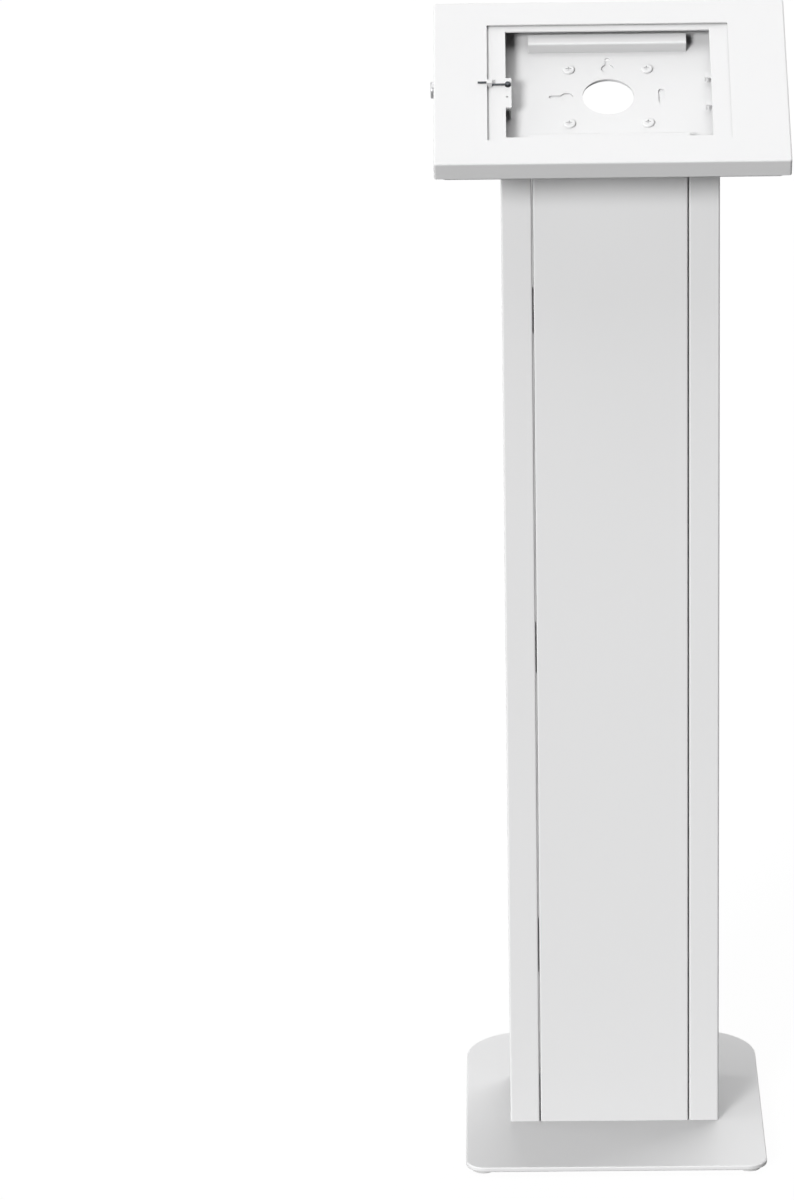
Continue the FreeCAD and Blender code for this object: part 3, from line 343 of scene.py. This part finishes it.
def make_foot(name, material):
    """A turned pad whose side dips twice and whose tread has rings.

    The side dips by g exp(-((z - zk) / s)^2) at each groove's height zk, and the tread rises by
    t sin^2(pi (r - r0) / p) from the recess outwards.
    """
    low, high = [np.array(corner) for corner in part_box(name)]
    radius = (high[0] - low[0]) / 2
    top = high[2] - low[2]
    height = np.linspace(foot_round, top - foot_round, foot_side_rows)
    offsets = [(height - top * share) / foot_groove_wide for share in foot_groove_heights]
    dips = [np.exp(-offset ** 2) for offset in offsets]
    side = np.stack([radius - foot_groove * sum(dips), height], axis=1)
    reach = np.linspace(radius - foot_round, foot_recess, foot_tread_rows)
    ripple = foot_tread * np.sin(np.pi * (reach - foot_recess) / foot_tread_pitch) ** 2
    neck = top - foot_recess_depth / 2
    section = np.concatenate([
        [(foot_recess, foot_recess_depth), (foot_hole, neck), (foot_hole, top)],
        arc((radius - foot_round, top - foot_round), foot_round, 90, 0),
        side[::-1],
        arc((radius - foot_round, foot_round), foot_round, 0, -90),
        np.stack([reach, ripple], axis=1),
    ])
    centre = np.array([(low[0] + high[0]) / 2, (low[1] + high[1]) / 2, low[2]])
    points = revolved(section).reshape(-1, 3) + centre
    faces = ring_faces(len(section), around)
    add_piece("soft_" + name, points, faces, material, "stand", "pale_rubber", name)


pale_rubber = coat(
    "pale_rubber", rubber_white, roughness=0.72, grain=0.0015, depth=0.00005, mottle=0.05)
for corner in ("front_left", "front_right", "rear_left", "rear_right"):
    make_foot("foot_" + corner, pale_rubber)

# Small fasteners: the foot screws, bolts, nuts and rivets that hold the stand together are steel
# with bright zinc plate, a bluish grey with a little cloudiness.
zinc_grey = (0.55, 0.58, 0.62)
zinc_plate = coat(
    "zinc_plate", zinc_grey, roughness=0.32, grain=0.0006, depth=0.00002, mottle=0.06, Metallic=1.0)
dress(zinc_plate, "foot_screws", "base_bolts", "base_nuts", "bracket_bolts", "bracket_nuts")
dress(zinc_plate, "mounting_nuts", "rail_rivets", "support_rivets", "strike_rivet", "bezel_nuts")

# Column: two folded side profiles, a front panel and a rear panel, flush with a fine seam between
# them, drawn back against three braces by studs at the front and button-head screws at the rear.
dress(powder_coat, "column_right_profile", "column_left_profile")
dress(powder_coat, "column_front_panel", "column_rear_panel")
dress(powder_coat, "column_foot_plate", "lower_brace", "middle_brace", "upper_brace")
dress(powder_coat, "column_top_plate")
dress(zinc_plate, "front_panel_nuts", "rear_panel_nuts", "rear_panel_screws")

# Cable grommet: a soft black ring snapped into the rear panel near the floor, a lip on each side
# of the sheet and a bore for the charging cable.
grommet_bore = 0.009
grommet_neck = 0.013
grommet_round = 0.0008
panel_sheet = 0.0015
rubber_black = (0.030, 0.030, 0.031)


def make_grommet(name, material):
    """A turned ring about the axis that runs out of the rear panel: (r cos t, h, r sin t)."""
    low, high = [np.array(corner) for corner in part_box(name)]
    rim = (high[0] - low[0]) / 2
    length = high[1] - low[1]
    lip = (length - panel_sheet) / 2
    turn = grommet_round
    section = np.concatenate([
        arc((grommet_bore + turn, turn), turn, 180, 270),
        arc((rim - turn, turn), turn, 270, 360),
        arc((rim - turn, lip - turn / 2), turn / 2, 0, 90),
        [(grommet_neck, lip), (grommet_neck, lip + panel_sheet)],
        arc((rim - turn, lip + panel_sheet + turn / 2), turn / 2, 270, 360),
        arc((rim - turn, length - turn), turn, 0, 90),
        arc((grommet_bore + turn, length - turn), turn, 90, 180),
    ])
    points = revolved(section).reshape(-1, 3)[:, [0, 2, 1]]
    centre = np.array([(low[0] + high[0]) / 2, low[1], (low[2] + high[2]) / 2])
    faces = ring_faces(len(section), around)
    add_piece("soft_" + name, points + centre, faces, material, "stand", "black_rubber", name)


black_rubber = coat(
    "black_rubber", rubber_black, roughness=0.62, grain=0.0015, depth=0.00005, mottle=0.12)
make_grommet("cable_grommet", black_rubber)

# Head bracket: one folded sheet, a sloped plate on two cheeks with feet bolted to the column's
# top, open at the front and rear, coated like the rest.
dress(powder_coat, "head_bracket")

# Casing tray: the rear shell with its rounded corners, and riveted inside it two rails, a bracket,
# a pair of tabs and the lock's strike, all coated before they were put together.
dress(powder_coat, "casing_tray", "upper_rail", "lower_rail")
dress(powder_coat, "left_support", "right_support", "lock_strike")

# Mounting screws: four flat round heads with a cross, coated white like the plate they sit on.
dress(powder_coat, "mounting_screws")

# Front cover and its inner frame: the folded front shell with the window, and the flat insert
# behind it that narrows the window to a smaller display.
dress(powder_coat, "casing_cover", "bezel_insert")

# Gasket: a thin frame of closed-cell foam that is squeezed between cover and insert. Its near-black
# colour is painted shade: it stands for the shade in the step round the window, a fine dark line.
gasket_wide = 0.008
gasket_corner = 0.003
gasket_round = 0.0003
gasket_points = 64
gasket_arc_points = 4
foam_and_painted_shade_grey = (0.050, 0.050, 0.052)


def slope_axes():
    """Rows of across, up the slope and out of the face, by the axis of the cover's hinge."""
    joints = frame["record"]["behaviour"]["joints"]
    up = next(np.array(joint["axis"]) for joint in joints if joint["name"] == "cover_hinge")
    across = np.array([1.0, 0.0, 0.0])
    return np.array([across, up, np.cross(across, up)])


def slope_box(name):
    """A CAD node's lowest and highest corners along the slope's own axes."""
    data = frame["nodes"][name].data
    points = np.empty(len(data.vertices) * 3)
    data.vertices.foreach_get("co", points)
    turned = points.reshape(-1, 3) @ slope_axes().T
    return turned.min(axis=0), turned.max(axis=0)


def make_gasket(name, material):
    """A rounded rectangle's path, (s(c) (a - R) + (R + d) c, s(s) (b - R) + (R + d) s, h)."""
    low, high = slope_box(name)
    half = (high - low) / 2
    thick = high[2] - low[2]
    turn = gasket_round
    centres = ((-turn, turn), (-turn, thick - turn), (turn - gasket_wide, thick - turn),
               (turn - gasket_wide, turn))
    section = np.concatenate([
        arc(centre, turn, first, first + 90, gasket_arc_points)
        for centre, first in zip(centres, (-90, 0, 90, 180))
    ])
    count = gasket_points
    angle = 2 * np.pi * (np.arange(count) + 0.5) / count
    offset = section[:, :1]
    outer = gasket_wide + gasket_corner
    across = np.sign(np.cos(angle)) * (half[0] - outer) + (outer + offset) * np.cos(angle)
    along = np.sign(np.sin(angle)) * (half[1] - outer) + (outer + offset) * np.sin(angle)
    height = np.repeat(section[:, 1:], count, axis=1)
    points = np.stack([across, along, height], axis=2).reshape(-1, 3)
    centre = (low + high) / 2 - np.array([0, 0, thick / 2])
    faces = ring_faces(len(section), count)
    placed = (points + centre) @ slope_axes()
    add_piece("soft_" + name, placed, faces, material, "cover", "dark_foam", name)


# Near-black foam colour: the stops' own colour, and on the gasket painted shade round the window.
dark_foam = coat("dark_foam", foam_and_painted_shade_grey, roughness=0.92, grain=0.0009, depth=0.0003, mottle=0.25)
make_gasket("bezel_gasket", dark_foam)

# Tablet stops: four die-cut strips of the same foam stuck behind the insert, which keep the
# tablet from sliding to any side.
stop_round = 0.0006
stop_points = 24


def make_stop(name, material):
    """A block with rounded edges: each coordinate is s(n) (half - r) + r n, n on a unit sphere."""
    low, high = slope_box(name)
    half = (high - low) / 2
    count = stop_points
    turn = 2 * np.pi * (np.arange(count) + 0.5) / count
    lean = np.pi * (np.arange(count) + 0.5) / count - np.pi / 2
    flat = np.cos(lean)[:, None]
    upward = np.repeat(np.sin(lean)[:, None], count, axis=1)
    normal = np.stack([flat * np.cos(turn), flat * np.sin(turn), upward], axis=2)
    points = np.sign(normal) * (half - stop_round) + stop_round * normal
    faces = ring_faces(count, count, joined=False)
    faces.append(list(range(count))[::-1])
    faces.append(list(range(count * (count - 1), count * count)))
    placed = (points.reshape(-1, 3) + (low + high) / 2) @ slope_axes()
    add_piece("soft_" + name, placed, faces, material, "cover", "dark_foam", name)


for side in ("left", "right", "bottom", "top"):
    make_stop("tablet_stop_" + side, dark_foam)

# Wire clip: a short steel wire that steps down from the cover into the window, held by a small
# white plastic saddle and ending in an eye under a steel screw, both near black as a painted dark
# reflection.
painted_reflection_grey = (0.09, 0.095, 0.105)
plastic_white = (0.86, 0.86, 0.86)
# Near-black metal for the wire and its screw: a painted dark reflection, not the steel's own
# colour.
painted_reflection_steel = coat(
    "painted_reflection_steel", painted_reflection_grey, roughness=0.36, grain=0.0006, depth=0.00002, mottle=0.08,
    Metallic=1.0)
white_plastic = coat(
    "white_plastic", plastic_white, roughness=0.5, grain=0.0012, depth=0.00003, mottle=0.02)
dress(painted_reflection_steel, "bezel_clip", "bezel_clip_screw")
dress(white_plastic, "bezel_clip_saddle")

# Lock: a dull-chromed barrel and plug in the cover's left edge, with a zinc-plated nut, cam and
# cam screw behind them.
chrome_grey = (0.46, 0.46, 0.47)
dull_chrome = coat(
    "lock_chrome", chrome_grey, roughness=0.3, grain=0.002, depth=0.00001, mottle=0.04,
    Metallic=1.0)
dress(dull_chrome, "lock_barrel", "lock_plug")
dress(zinc_plate, "lock_nut", "lock_cam", "lock_cam_screw")

# Hinge pins: two bright steel pins, one in the three barrels of each hinge at the right edge.
dress(zinc_plate, "lower_hinge_pin", "upper_hinge_pin")
